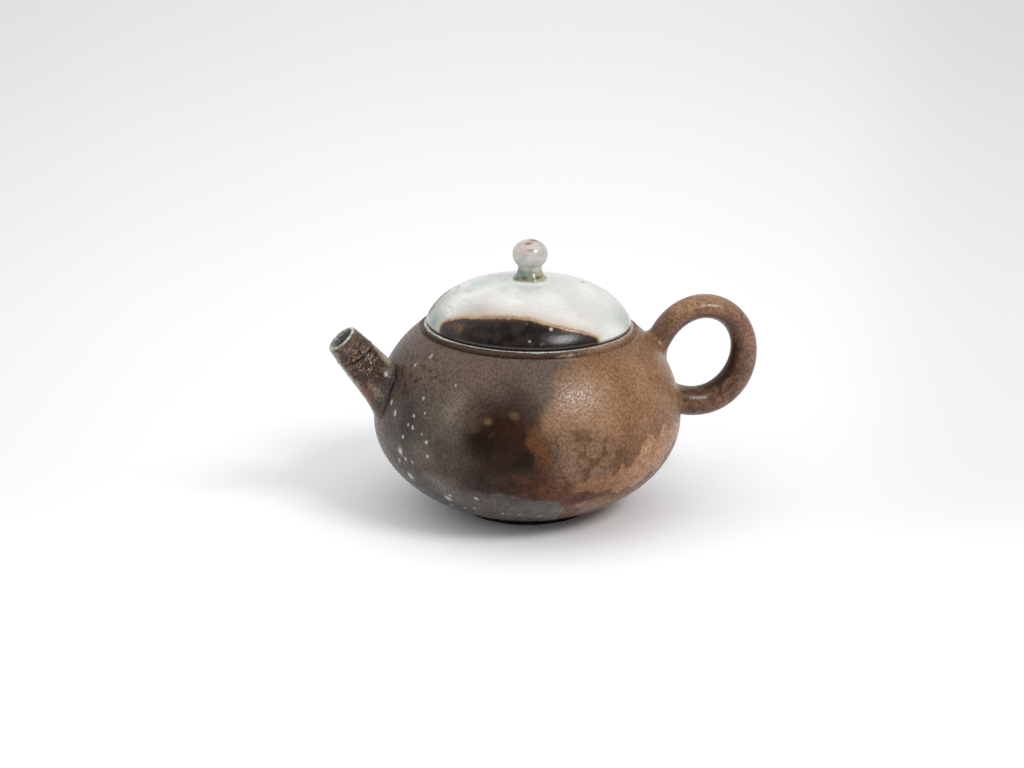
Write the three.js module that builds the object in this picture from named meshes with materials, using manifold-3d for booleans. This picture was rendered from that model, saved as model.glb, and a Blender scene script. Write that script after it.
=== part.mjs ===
// A small wood-fired teapot for one or two people: a round thrown body on a low foot ring, a straight
// tapered spout, a ring handle for one finger, and a domed lid with a ball knob that lifts off.
// Lengths are millimetres and angles degrees. Z is up, the spout points along -X, the handle along +X.
import * as THREE from "three";
import { mergeVertices } from "three/addons/utils/BufferGeometryUtils.js";
import Module from "manifold-3d";

const wasm = await Module();
wasm.setup();

// Body: two half ovals that meet at the belly's widest line
const bellyRadius = 48;
const bellyHeight = 29.7; // the widest line, above the ground
const bellyDip = 1.5; // how far the lower oval would run below the ground if the foot didn't cut it
const shoulderRise = 35.4; // from the widest line to the top of the upper oval
const shoulderOut = 2.85; // power of the upper oval outwards: over 2 keeps the shoulder full
const shoulderUp = 1.94; // power of the upper oval upwards
const wall = 3;
const floorThickness = 3.2;

// Foot ring
const footRadius = 20.35;
const footWidth = 4;
const footHeight = 2;
const footBevel = 0.4;

// Mouth: the collar and the lid stand square to each other, leaning a little towards the handle
const mouthLean = 1;
const mouthShift = 0.46; // the mouth's centre, towards the handle from the body's axis
const mouthRadius = 27.5;
const collarWidth = 5;
const collarHeight = 1.65;
const collarRound = 0.5;
const shoulderLedge = 1.3; // bare shoulder left outside the collar

// Lid
const lidInset = 0.85; // the lid's edge, in from the collar's outer side
const lidRise = 12.5; // from the lid's widest line to its crown
const lidEdge = 0.75; // radius of the rolled edge under the widest line
const lidOut = 3.13; // powers of the dome's oval, as for the shoulder
const lidUp = 1.36;
const lidWall = 3.2;
const lidHollowOut = 2.4; // powers of the hollow's oval
const lidHollowUp = 2.2;
const flangeWidth = 2.6;
const flangeDrop = 3.6; // how far the flange hangs below the collar's foot
const ventRadius = 0.75;
const ventReach = 17; // from the lid's axis, towards the handle

// Knob
const knobRadius = 5.5;
const knobHalfHeight = 4.65;
const knobLift = 8.4; // the ball's centre, above the crown
const neckRadius = 3.6;
const knobFootRadius = 6.6;

// Spout: a straight tube, tapered towards its lip and flared a little at its root
const spoutAngle = 50.8; // above the ground
const spoutRootRise = 12.9; // where its axis enters the body, above the widest line
const spoutReach = 21; // from there to the lip, along the axis
const spoutLipRadius = 5;
const spoutTaper = 0.155;
const spoutHollowing = 0.0033; // eases the taper off towards the root
const spoutFlare = 1; // extra radius at the root
const spoutLipWall = 1;
const spoutWall = 2;

// Strainer: a pierced half ball over the spout's hole, inside the body
const strainerMargin = 3.75; // the ball's radius over that of the spout's bore where it enters the body
const strainerWall = 1.6;
const strainerHole = 1.1;
const strainerRings = [1, 6, 12]; // holes in each ring, from the middle out
const strainerStep = 24; // angle between the rings

// Handle: an oval ring, tipped towards the lid, open where it is joined to the body
const handleOut = 8.7; // the ring's centre, outside the belly
const handleRise = 15.2; // and above the widest line
const handleHalfLength = 14.5;
const handleHalfHeight = 15.6;
const handleTip = -15;
const handleHalfWidth = 4.8;
const handleHalfThick = 4.11; // in the ring's plane, on average
const handleFarSwell = 0.44; // thicker away from the body,
const handleLowSwell = 0.29; // at the bottom,
const handleCrossSwell = 0.32; // and both at the upper root and low on the far side
const handleRootFlare = 0.28; // share by which the section swells at each root
const handleRootSink = 3.8; // how far each root bends in towards the body's axis
const handleFrom = 210; // angles round the ring where the two roots end, inside the body
const handleTo = -116;

// Clearances and fineness
const seam = 0.3; // slip joint between two pieces that were made apart
const lidClearance = 0.5; // between the flange and the mouth
const turnSegments = 48;
const tubeSegments = 24;
const ballSegments = 18;
const lowSteps = 8; // sections of the body's lower and upper oval
const highSteps = 11;
const lidSteps = 8;

// Sizes that follow from those
const collarRadius = mouthRadius + collarWidth;
const lidRadius = collarRadius - lidInset;

const radians = THREE.MathUtils.degToRad;
const vec2 = (x, y) => new THREE.Vector2(x, y);
const vec3 = (x, y, z) => new THREE.Vector3(x, y, z);

// Shared shape helpers

// A closed surface turned about Z from a section of (radius, height) points.
function turned(section, segments = turnSegments) {
  const geometry = new THREE.LatheGeometry(section, segments).rotateX(Math.PI / 2);
  return welded(geometry);
}

function welded(geometry) {
  geometry.deleteAttribute("normal");
  geometry.deleteAttribute("uv");
  return mergeVertices(geometry, 1e-3);
}

function solidOf(geometry) {
  const vertProperties = geometry.attributes.position.array;
  const triVerts = new Uint32Array(geometry.index.array);
  return new wasm.Manifold(new wasm.Mesh({ numProp: 3, vertProperties, triVerts }));
}

function geometryOf(solid) {
  const mesh = solid.getMesh();
  return new THREE.BufferGeometry()
    .setAttribute("position", new THREE.BufferAttribute(mesh.vertProperties, 3))
    .setIndex(new THREE.BufferAttribute(mesh.triVerts, 1));
}

// A point of an oval quadrant: angle 0 is its widest point, 90 its top.
function ovalPoint(radius, rise, powerOut, powerUp, angle) {
  return vec2(
    radius * Math.cos(angle) ** (2 / powerOut),
    rise * Math.sin(angle) ** (2 / powerUp),
  );
}

// Points of an oval quadrant from its widest point up to a height, both counted from the widest line.
function ovalArc(radius, rise, powerOut, powerUp, height, steps) {
  const end = Math.asin((height / rise) ** (powerUp / 2));
  return Array.from({ length: steps + 1 }, (_, i) =>
    ovalPoint(radius, rise, powerOut, powerUp, (end * i) / steps),
  );
}

function quarterArc(centre, radius, fromAngle, toAngle, steps = 3) {
  return Array.from({ length: steps + 1 }, (_, i) => {
    const angle = radians(fromAngle + ((toAngle - fromAngle) * i) / steps);
    return vec2(centre.x + radius * Math.cos(angle), centre.y + radius * Math.sin(angle));
  });
}

// Body sections

const ovalHeightAt = (radius) =>
  shoulderRise * (1 - (radius / bellyRadius) ** shoulderOut) ** (1 / shoulderUp);
const bodyRadiusAt = (rise) =>
  bellyRadius * (1 - (rise / shoulderRise) ** shoulderUp) ** (1 / shoulderOut);
const collarBase = bellyHeight + ovalHeightAt(collarRadius + shoulderLedge);

// The wall's surface at a depth below the outside, from a low height up to a high one.
function bodySection(depth, low, high) {
  const radius = bellyRadius - depth;
  const lower = ovalArc(radius, bellyHeight + bellyDip - depth, 2, 2, bellyHeight - low, lowSteps);
  const upper = ovalArc(
    radius,
    shoulderRise - depth,
    shoulderOut,
    shoulderUp,
    high - bellyHeight,
    highSteps,
  );
  return [
    ...lower.reverse().map((p) => vec2(p.x, bellyHeight - p.y)),
    ...upper.slice(1).map((p) => vec2(p.x, bellyHeight + p.y)),
  ];
}

// The potter's mouth isn't quite level: above the belly the body leans little by little into it.
function leaned(geometry) {
  const position = geometry.attributes.position;
  for (let i = 0; i < position.count; i++) {
    const weight = THREE.MathUtils.smoothstep(position.getZ(i), bellyHeight, collarBase);
    const angle = radians(mouthLean) * weight;
    const point = vec3(position.getX(i), position.getY(i), position.getZ(i) - collarBase);
    point.applyAxisAngle(vec3(0, 1, 0), angle);
    position.setXYZ(i, point.x + mouthShift * weight, point.y, point.z + collarBase);
  }
  return geometry;
}

// The body filled solid, out to a gap beyond its surface: what is joined to the body is cut back by it.
function filledBody(gap) {
  const section = bodySection(-gap, footHeight - gap, collarBase);
  const shoulder = section[section.length - 1].x;
  const top = [vec2(shoulder, collarBase + gap), vec2(0, collarBase + gap)];
  return solidOf(leaned(turned([vec2(0, footHeight - gap), ...section, ...top])));
}

// The space inside the body, less a gap all round.
function cavity(gap) {
  const low = footHeight + floorThickness + gap;
  const high = collarBase - wall - gap;
  const section = bodySection(wall + gap, low, high);
  return solidOf(leaned(turned([vec2(0, low), ...section, vec2(0, high)])));
}

// Spout placing: its own axis is +Z, with the lip at 0 and the root below
const spoutRoot = vec3(-bodyRadiusAt(spoutRootRise), 0, bellyHeight + spoutRootRise);
const spoutAxis = vec3(-Math.cos(radians(spoutAngle)), 0, Math.sin(radians(spoutAngle)));
const spoutLip = spoutRoot.clone().addScaledVector(spoutAxis, spoutReach);
const spoutDepth = spoutReach + 3 * wall; // its blank runs this far, right through the body's wall
const spoutTurn = new THREE.Quaternion().setFromUnitVectors(vec3(0, 0, 1), spoutAxis);

const spoutRadiusAt = (s) =>
  spoutLipRadius +
  spoutTaper * s -
  spoutHollowing * s * s +
  spoutFlare * (s / (spoutReach + wall)) ** 6;
const spoutBoreAt = (s) =>
  spoutRadiusAt(Math.min(s, spoutReach)) -
  THREE.MathUtils.lerp(spoutLipWall, spoutWall, Math.min(1, (2 * s) / spoutReach));

function alongSpout(geometry) {
  return geometry.applyQuaternion(spoutTurn).translate(spoutLip.x, spoutLip.y, spoutLip.z);
}

// The hollow of the spout, run on past both of its ends.
function spoutBore() {
  const stations = [0, 0.25, 0.5, 0.75, 1].map((share) => share * spoutDepth);
  const over = 2 * wall;
  const section = [
    vec2(0, -spoutDepth - over),
    vec2(spoutBoreAt(spoutDepth), -spoutDepth - over),
    ...stations.reverse().map((s) => vec2(spoutBoreAt(s), -s)),
    vec2(spoutBoreAt(0), over),
    vec2(0, over),
  ];
  return solidOf(alongSpout(turned(section, tubeSegments)));
}

// Pieces

function makePotBody() {
  const floorTop = footHeight + floorThickness;
  const shelf = collarBase - wall;
  const section = [
    vec2(0, footHeight),
    ...bodySection(0, footHeight, collarBase),
    vec2(mouthRadius, collarBase),
    vec2(mouthRadius, shelf),
    ...bodySection(wall, floorTop, shelf).reverse(),
    vec2(0, floorTop),
  ];
  const shell = solidOf(leaned(turned(section)));
  return geometryOf(shell.subtract(spoutBore()));
}

function makeFootRing() {
  const inner = footRadius - footWidth;
  return turned([
    vec2(inner, footBevel),
    vec2(inner + footBevel, 0),
    vec2(footRadius - footBevel, 0),
    vec2(footRadius, footBevel),
    vec2(footRadius, footHeight),
    vec2(inner, footHeight),
    vec2(inner, footBevel),
  ]);
}

function makeSpout() {
  const stations = [0.14, 0.3, 0.45, 0.6, 0.72, 0.84, 0.92, 1].map((share) => share * spoutDepth);
  const lipRound = spoutLipWall / 2;
  const section = [
    vec2(0, -spoutDepth),
    ...stations.reverse().map((s) => vec2(spoutRadiusAt(s), -s)),
    ...quarterArc(vec2(spoutLipRadius - lipRound, -lipRound), lipRound, 0, 90, 2),
    vec2(0, 0),
  ];
  const blank = solidOf(alongSpout(turned(section, tubeSegments)));
  return geometryOf(blank.subtract(spoutBore()).subtract(filledBody(seam)));
}

// Where the spout's axis comes out of the wall, inside the body.
function strainerCentre() {
  const through = wall / Math.cos(radians(spoutAngle) / 2);
  return spoutRoot.clone().addScaledVector(spoutAxis, -through);
}

function makeStrainer() {
  const centre = strainerCentre();
  const strainerRadius = spoutBoreAt(spoutReach) + strainerMargin;
  const ball = (radius) =>
    solidOf(
      welded(new THREE.SphereGeometry(radius, ballSegments, ballSegments / 2)).translate(
        ...centre.toArray(),
      ),
    );
  let shell = ball(strainerRadius).subtract(ball(strainerRadius - strainerWall));
  const inward = vec3(-spoutRoot.x, 0, -spoutRootRise / 2).normalize();
  const face = new THREE.Quaternion().setFromUnitVectors(vec3(0, 0, 1), inward);
  strainerRings.forEach((count, ring) => {
    for (let i = 0; i < count; i++) {
      const lift = radians(strainerStep * ring);
      const round = (2 * Math.PI * i) / count;
      const aim = vec3(
        Math.sin(lift) * Math.cos(round),
        Math.sin(lift) * Math.sin(round),
        Math.cos(lift),
      );
      aim.applyQuaternion(face);
      const drill = new THREE.CylinderGeometry(strainerHole, strainerHole, strainerRadius, 6);
      drill.rotateX(Math.PI / 2).translate(0, 0, strainerRadius);
      drill.applyQuaternion(new THREE.Quaternion().setFromUnitVectors(vec3(0, 0, 1), aim));
      drill.translate(...centre.toArray());
      shell = shell.subtract(solidOf(welded(drill)));
    }
  });
  return geometryOf(shell.intersect(cavity(seam)));
}

// A closed skin over rings of points, with both end rings closed over.
function lofted(rings) {
  const sides = rings[0].length;
  const points = rings.flat();
  const index = [];
  const at = (ring, side) => ring * sides + (side % sides);
  for (let ring = 0; ring + 1 < rings.length; ring++) {
    for (let side = 0; side < sides; side++) {
      index.push(at(ring, side), at(ring + 1, side), at(ring, side + 1));
      index.push(at(ring, side + 1), at(ring + 1, side), at(ring + 1, side + 1));
    }
  }
  const last = rings.length - 1;
  for (let side = 1; side + 1 < sides; side++) {
    index.push(at(0, 0), at(0, side), at(0, side + 1));
    index.push(at(last, 0), at(last, side + 1), at(last, side));
  }
  return new THREE.BufferGeometry().setFromPoints(points).setIndex(index);
}

function makeHandle() {
  const centre = vec3(bellyRadius + handleOut, 0, bellyHeight + handleRise);
  const tip = radians(-handleTip);
  const turn = (x, z) => vec3(x, 0, z).applyAxisAngle(vec3(0, 1, 0), tip);
  const steps = 40;
  const sides = 16;
  const rings = Array.from({ length: steps + 1 }, (_, i) => {
    const share = i / steps;
    const angle = radians(THREE.MathUtils.lerp(handleFrom, handleTo, share));
    const spine = turn(handleHalfLength * Math.cos(angle), handleHalfHeight * Math.sin(angle));
    const outward = turn(
      Math.cos(angle) / handleHalfLength,
      Math.sin(angle) / handleHalfHeight,
    ).normalize();
    const nearRoot = Math.abs(2 * share - 1) ** 8;
    const swell = 1 + handleRootFlare * nearRoot;
    const halfThick =
      handleHalfThick +
      handleFarSwell * Math.cos(angle) -
      handleLowSwell * Math.sin(angle) -
      handleCrossSwell * Math.sin(2 * angle);
    spine.x -= handleRootSink * nearRoot;
    return Array.from({ length: sides }, (_, side) => {
      const around = (2 * Math.PI * side) / sides;
      return centre
        .clone()
        .add(spine)
        .addScaledVector(outward, swell * halfThick * Math.cos(around))
        .addScaledVector(vec3(0, 1, 0), swell * handleHalfWidth * Math.sin(around));
    });
  });
  return geometryOf(solidOf(lofted(rings)).subtract(filledBody(seam)));
}

// Mouth and lid: heights from here on are counted from the collar's foot, square to the mouth
const seatHeight = collarHeight + seam;
const widestHeight = seatHeight + lidEdge;
const crownHeight = widestHeight + lidRise;
const flangeRadius = mouthRadius - lidClearance;

function makeCollar() {
  const top = vec2(collarRadius - collarRound, collarHeight - collarRound);
  return turned([
    vec2(mouthRadius, seam),
    vec2(collarRadius, seam),
    ...quarterArc(top, collarRound, 0, 90),
    vec2(mouthRadius, collarHeight),
    vec2(mouthRadius, seam),
  ]);
}

function makeLidDome() {
  const hollowRadius = flangeRadius - flangeWidth;
  const hollowRise = crownHeight - lidWall - seatHeight;
  const crown = lidRise * (1 - (knobFootRadius / lidRadius) ** lidOut) ** (1 / lidUp);
  const outside = ovalArc(lidRadius, lidRise, lidOut, lidUp, crown, lidSteps);
  const inside = ovalArc(hollowRadius, hollowRise, lidHollowOut, lidHollowUp, hollowRise, lidSteps);
  const section = [
    ...quarterArc(vec2(lidRadius - lidEdge, widestHeight), lidEdge, -90, 0).slice(0, -1),
    ...outside.map((p) => vec2(p.x, widestHeight + p.y)),
    vec2(0, widestHeight + crown),
    ...inside.reverse().map((p) => vec2(p.x, seatHeight + p.y)),
  ];
  const shell = solidOf(turned([...section, section[0]]));
  const drill = new THREE.CylinderGeometry(ventRadius, ventRadius, 2 * crownHeight, 12);
  drill.rotateX(Math.PI / 2).translate(ventReach, 0, crownHeight);
  return geometryOf(shell.subtract(solidOf(welded(drill))));
}

function makeLidFlange() {
  const inner = flangeRadius - flangeWidth;
  const top = seatHeight - seam;
  return turned([
    vec2(inner, -flangeDrop),
    vec2(flangeRadius - collarRound, -flangeDrop),
    vec2(flangeRadius, -flangeDrop + collarRound),
    vec2(flangeRadius, top),
    vec2(inner, top),
    vec2(inner, -flangeDrop),
  ]);
}

function makeKnob() {
  const foot = crownHeight + seam;
  const centre = crownHeight + knobLift;
  const meet = Math.acos(neckRadius / knobRadius); // where the neck runs into the ball
  const neckHeight = centre - knobHalfHeight * Math.sin(meet);
  const flareOut = knobFootRadius - neckRadius;
  const flareSteps = 4;
  const ballSteps = 9;
  const flare = Array.from({ length: flareSteps }, (_, i) => {
    const angle = (Math.PI / 2) * (i / flareSteps);
    return vec2(
      knobFootRadius - flareOut * Math.sin(angle),
      neckHeight - (neckHeight - foot) * Math.cos(angle),
    );
  });
  const ball = Array.from({ length: ballSteps }, (_, i) => {
    const angle = THREE.MathUtils.lerp(-meet, Math.PI / 2, i / ballSteps);
    return vec2(knobRadius * Math.cos(angle), centre + knobHalfHeight * Math.sin(angle));
  });
  const top = vec2(0, centre + knobHalfHeight);
  return turned([vec2(0, foot), ...flare, ...ball, top], tubeSegments);
}

// Clay and glaze as they show from a step away
const firedClay = new THREE.MeshStandardMaterial({ color: 0x74604f, roughness: 0.5, metalness: 0 });
const ashClay = new THREE.MeshStandardMaterial({ color: 0x64564a, roughness: 0.55, metalness: 0 });
const darkFoot = new THREE.MeshStandardMaterial({ color: 0x2e2723, roughness: 0.8, metalness: 0 });
const celadon = new THREE.MeshStandardMaterial({ color: 0xd5d8d2, roughness: 0.18, metalness: 0 });
const bareClay = new THREE.MeshStandardMaterial({ color: 0x8a7563, roughness: 0.75, metalness: 0 });

function piece(name, geometry, material) {
  const mesh = new THREE.Mesh(geometry, material);
  mesh.name = name;
  mesh.geometry.computeVertexNormals();
  return mesh;
}

const mouth = new THREE.Group();
mouth.position.set(mouthShift, 0, collarBase);
mouth.rotation.y = radians(mouthLean);
mouth.add(
  piece("mouth_collar", makeCollar(), firedClay),
  piece("lid_flange", makeLidFlange(), bareClay),
  piece("lid_dome", makeLidDome(), celadon),
  piece("lid_knob", makeKnob(), celadon),
);

const teapot = new THREE.Group();
teapot.add(
  piece("pot_body", makePotBody(), firedClay),
  piece("foot_ring", makeFootRing(), darkFoot),
  piece("spout", makeSpout(), ashClay),
  piece("spout_strainer", makeStrainer(), bareClay),
  piece("handle", makeHandle(), firedClay),
  mouth,
);

// The frame's origin is on the ground, midway between the spout's lip and the handle's outer side.
const extent = new THREE.Box3().setFromObject(teapot, true);
teapot.position.x = -(extent.min.x + extent.max.x) / 2;

const part = new THREE.Group();
part.add(teapot);

export default part;
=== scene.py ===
import math
import bmesh
import bpy
import numpy as np
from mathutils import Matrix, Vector, noise


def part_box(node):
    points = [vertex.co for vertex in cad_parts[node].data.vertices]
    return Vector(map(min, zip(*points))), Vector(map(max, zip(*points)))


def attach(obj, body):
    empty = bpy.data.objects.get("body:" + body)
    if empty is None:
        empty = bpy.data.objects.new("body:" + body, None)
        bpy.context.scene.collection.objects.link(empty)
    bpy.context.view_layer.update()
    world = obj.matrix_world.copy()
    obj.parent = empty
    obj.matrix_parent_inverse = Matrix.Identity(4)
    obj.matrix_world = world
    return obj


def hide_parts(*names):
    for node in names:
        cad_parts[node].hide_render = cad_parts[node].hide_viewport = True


# A small wood-fired teapot with a celadon lid. Lengths are millimetres from the ground and from the body's
# axis, angles round that axis are degrees from the front, positive towards the handle.
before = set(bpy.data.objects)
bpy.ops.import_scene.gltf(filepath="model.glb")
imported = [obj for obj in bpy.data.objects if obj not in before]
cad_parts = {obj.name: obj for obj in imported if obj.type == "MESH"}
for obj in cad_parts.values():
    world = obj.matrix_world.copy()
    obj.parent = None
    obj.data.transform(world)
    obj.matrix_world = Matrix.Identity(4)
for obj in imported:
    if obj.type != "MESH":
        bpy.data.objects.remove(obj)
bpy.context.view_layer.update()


# Pot body: a round thrown shell with a full shoulder, of coarse brown stoneware. It was wood-fired under a
# thin ash glaze, and came out warm and leathery on the handle's side and grey with white ash flecks on the
# spout's. Its mouth leans a degree towards the handle.


def corners(node):
    """A CAD node's lowest and highest corner, in millimetres."""
    return [np.array(corner) * 1000 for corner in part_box(node)]


foot_low, foot_high = corners("foot_ring")
axis_x = (foot_low[0] + foot_high[0]) / 2
foot_radius = foot_high[1]
foot_height = foot_high[2]
belly_radius = corners("pot_body")[1][1]
collar_radius = corners("mouth_collar")[1][1]
belly_height = 29.7
belly_dip = 1.5
shoulder_rise = 35.4
shoulder_out = 2.85
shoulder_up = 1.94
shoulder_ledge = 1.3
wall = 3
floor_thickness = 3.2
mouth_radius = collar_radius - 5
mouth_lean = math.radians(1)
mouth_shift = 0.46


def body_radius(height, depth=0.0):
    """The radius of the body's wall at a height, at a depth below its outside."""
    up = np.asarray(height, float) - belly_height
    rise = np.where(up > 0, shoulder_rise, belly_height + belly_dip) - depth
    share = np.clip(np.abs(up) / rise, 0, 1)
    shoulder = (1 - share**shoulder_up) ** (1 / shoulder_out)
    return (belly_radius - depth) * np.where(up > 0, shoulder, (1 - share**2) ** 0.5)


ledge_share = (collar_radius + shoulder_ledge) / belly_radius
collar_base = belly_height + shoulder_rise * (1 - ledge_share**shoulder_out) ** (1 / shoulder_up)


def even(line, step):
    """The same line of (radius, height) points, with its points about a step apart."""
    line = np.array(line, float)
    along = np.concatenate([[0], np.cumsum(np.hypot(*np.diff(line, axis=0).T))])
    places = np.linspace(0, along[-1], max(2, round(along[-1] / step) + 1))
    return np.column_stack([np.interp(places, along, part) for part in line.T])


def wall_line(depth, low, high, step):
    """The body's wall as a line at a depth below its outside, from a low height up to a high one."""
    heights = np.linspace(low, high, 800)
    return even(np.column_stack([body_radius(heights, depth), heights]), step)


def arc(centre, radius, start, end, steps=6):
    """Points of a round corner, between two angles counted from straight out."""
    turn = np.radians(np.linspace(start, end, steps))
    return np.column_stack([centre[0] + radius * np.cos(turn), centre[1] + radius * np.sin(turn)])


def turned(line, segments=240, closed=False):
    """Points and faces of a line turned about the axis. It ends on the axis, or closes on itself."""
    points, rings, faces = [], [], []
    turns = np.linspace(0, 2 * math.pi, segments, endpoint=False)
    for radius, height in line:
        first = len(points)
        if radius < 1e-6:
            points.append((0, 0, height))
            rings.append([first] * segments)
        else:
            points += [(radius * math.sin(t), -radius * math.cos(t), height) for t in turns]
            rings.append(list(range(first, first + segments)))
    pairs = list(zip(rings, rings[1:])) + ([(rings[-1], rings[0])] if closed else [])
    for one, other in pairs:
        for i in range(segments):
            j = (i + 1) % segments
            faces.append(list(dict.fromkeys([one[i], one[j], other[j], other[i]])))
    return np.array(points), [face for face in faces if len(face) > 2]


def lean_share(height):
    """How much of the mouth's lean a height has: none up to the belly, and all of it at the collar."""
    share = np.clip((height - belly_height) / (collar_base - belly_height), 0, 1)
    return share * share * (3 - 2 * share)


def leaned(points):
    """The potter's mouth isn't quite level: above the belly the body leans little by little into it."""
    x, y, z = np.array(points, float).T
    weight = lean_share(z)
    turn = mouth_lean * weight
    z = z - collar_base
    moved = x * np.cos(turn) + z * np.sin(turn) + mouth_shift * weight
    return np.column_stack([moved, y, z * np.cos(turn) - x * np.sin(turn) + collar_base])


dent_depth = 0.12
dent_reach = 9
dent_fade = 6


def dented(points):
    """Draws the thrown wall in a little, here and there, as the potter's fingers leave it."""
    out = []
    for x, y, z in points:
        radius = math.hypot(x, y)
        fade = min(1, max(0, (collar_base - 1 - z) / dent_fade))
        pull = dent_depth * fade * (0.5 + 0.5 * noise.noise(Vector((x, y, z)) / dent_reach))
        scale = 1 - pull / radius if radius > 1 else 1
        out.append((x * scale, y * scale, z))
    return np.array(out)


real_edge = math.radians(40)


def finished(mesh):
    """Smooth shading, except along real edges."""
    mesh.shade_smooth()
    mesh.set_sharp_from_angle(angle=real_edge)


def solid(name, points, faces):
    """A closed piece from points in millimetres about the body's axis."""
    mesh = bpy.data.meshes.new(name)
    mesh.from_pydata(((np.array(points) + (axis_x, 0, 0)) / 1000).tolist(), [], faces)
    shape = bmesh.new()
    shape.from_mesh(mesh)
    bmesh.ops.recalc_face_normals(shape, faces=shape.faces)
    shape.to_mesh(mesh)
    shape.free()
    finished(mesh)
    piece = bpy.data.objects.new(name, mesh)
    bpy.context.scene.collection.objects.link(piece)
    return piece


def cut(piece, tool, operation="DIFFERENCE"):
    """Cuts a piece with a tool shape, which is used up."""
    change = piece.modifiers.new("cut", "BOOLEAN")
    change.operation, change.solver, change.object = operation, "EXACT", tool
    seen = bpy.context.evaluated_depsgraph_get()
    result = bpy.data.meshes.new_from_object(piece.evaluated_get(seen))
    piece.modifiers.clear()
    piece.data = result
    finished(result)
    bpy.data.objects.remove(tool)


foot_top = foot_height + 0.3
base_dome = 0.4
groove_outer = 34.5
groove = [(34.3, -0.1), (33.9, -0.05), (33.4, -0.25), (33, -0.5), (32.6, -0.45), (31, -0.4)]
shelf = collar_base - wall
mouth_round = 0.8
outside = wall_line(0, foot_top, collar_base - 0.35, 0.6)
outside = outside[(outside[:, 0] > groove_outer) | (outside[:, 1] < belly_height)]
mouth_edge = arc((mouth_radius + mouth_round, shelf + mouth_round), mouth_round, 180, 270)
inside = wall_line(wall, foot_height + floor_thickness, shelf, 1.3)[::-1]
body_line = np.vstack([
    [(0, foot_top + base_dome), (foot_radius - 5, foot_top + base_dome / 2), (foot_radius - 0.5, foot_top)],
    outside,
    np.array(groove) + (0, collar_base),
    [(mouth_radius, collar_base + groove[-1][1])],
    mouth_edge,
    inside,
    [(0, foot_height + floor_thickness)],
])
points, faces = turned(body_line)
body = solid("body_shell", leaned(dented(points)), faces)


class Wire:
    """A value, vector or colour on its way through a material's nodes."""

    def __init__(self, nodes, socket=None):
        self.nodes, self.socket = nodes, socket

    def node(self, kind, settings=None, sockets=None, output=0):
        """Adds a node: its settings or its curve's points first, then the values or links of its sockets."""
        made = self.nodes.new(kind)
        for name, value in (settings or {}).items():
            if name == "points":
                curve = made.mapping.curves[0].points
                curve[0].location, curve[1].location = value[0], value[-1]
                for point in value[1:-1]:
                    curve.new(*point)
                for point in curve:
                    point.handle_type = "AUTO_CLAMPED"
                made.mapping.update()
            else:
                setattr(made, name, value)
        for name, value in (sockets or {}).items():
            if isinstance(value, Wire):
                self.nodes.id_data.links.new(value.socket, made.inputs[name])
            else:
                made.inputs[name].default_value = value
        return Wire(self.nodes, made.outputs[output])

    def math(self, operation, *others):
        """A Math node with this value first."""
        return self.node("ShaderNodeMath", {"operation": operation}, dict(enumerate((self, *others))))

    def __add__(self, other):
        return self.math("ADD", other)

    __radd__ = __add__

    def __sub__(self, other):
        return self.math("SUBTRACT", other)

    def __rsub__(self, other):
        return self.node("ShaderNodeMath", {"operation": "SUBTRACT"}, {0: other, 1: self})

    def __mul__(self, other):
        return self.math("MULTIPLY", other)

    __rmul__ = __mul__

    def __truediv__(self, other):
        return self.math("DIVIDE", other)

    def __pow__(self, other):
        return self.math("POWER", other)

    def vector(self, operation, *others, output=0):
        """A Vector Math node with this vector first."""
        sockets = dict(enumerate((self, *others)))
        return self.node("ShaderNodeVectorMath", {"operation": operation}, sockets, output)

    def times(self, share):
        """This vector or colour, with all its parts times a value."""
        return self.node("ShaderNodeVectorMath", {"operation": "SCALE"}, {0: self, "Scale": share})

    def parts(self):
        """This vector's x, y and z."""
        return [self.node("ShaderNodeSeparateXYZ", {}, {0: self}, output) for output in range(3)]

    def step(self, low, high):
        """0 below low, 1 above high and smooth between; high may be the lower one."""
        settings = {"interpolation_type": "SMOOTHSTEP"}
        sockets = {"Value": self, "From Min": low, "From Max": high}
        return self.node("ShaderNodeMapRange", settings, sockets)

    def mix(self, under, over):
        """The colour under, covered by the colour over as much as this value says."""
        return self.node("ShaderNodeMix", {"data_type": "RGBA"}, {0: self, 6: under, 7: over}, 2)

    def either(self, other):
        """Two masks as one: the larger value."""
        return self.math("MAXIMUM", other)

    def cloud(self, size, detail=2.0, rough=0.5, output=0):
        """Soft noise over a place in millimetres, with blots of about a size."""
        sockets = {"Vector": self, "Scale": 1 / size, "Detail": detail, "Roughness": rough}
        return self.node("ShaderNodeTexNoise", {}, sockets, output)

    def cells(self, size):
        """The distance to the middle of cells about a size across."""
        return self.node("ShaderNodeTexVoronoi", {}, {"Vector": self, "Scale": 1 / size})

    def along(self, line):
        """A smooth curve through (input, output) points, read at this value."""
        start, end = line[0][0], line[-1][0]
        outs = [out for _, out in line]
        low, high = min(outs), max(outs)
        span = (high - low) or 1
        settings = {"points": [((x - start) / (end - start), (y - low) / span) for x, y in line]}
        share = self.node("ShaderNodeMapRange", {}, {"Value": self, "From Min": start, "From Max": end})
        return share.node("ShaderNodeFloatCurve", settings, {"Value": share}) * span + low

    def spot(self, middle, half, core=0.0):
        """On a chart of (angle, height): 1 in the middle of an oval, or in its core, and 0 outside it."""
        offset = self.vector("SUBTRACT", (*middle, 0)).vector("DIVIDE", (*half, 1))
        return offset.vector("LENGTH", output=1).step(1, core)


def tone(red, green, blue):
    """A colour given as it looks on a screen, each part from 0 to 255."""
    parts = []
    for part in (red / 255, green / 255, blue / 255):
        parts.append(part / 12.92 if part < 0.04045 else ((part + 0.055) / 1.055) ** 2.4)
    return (*parts, 1)


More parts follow.
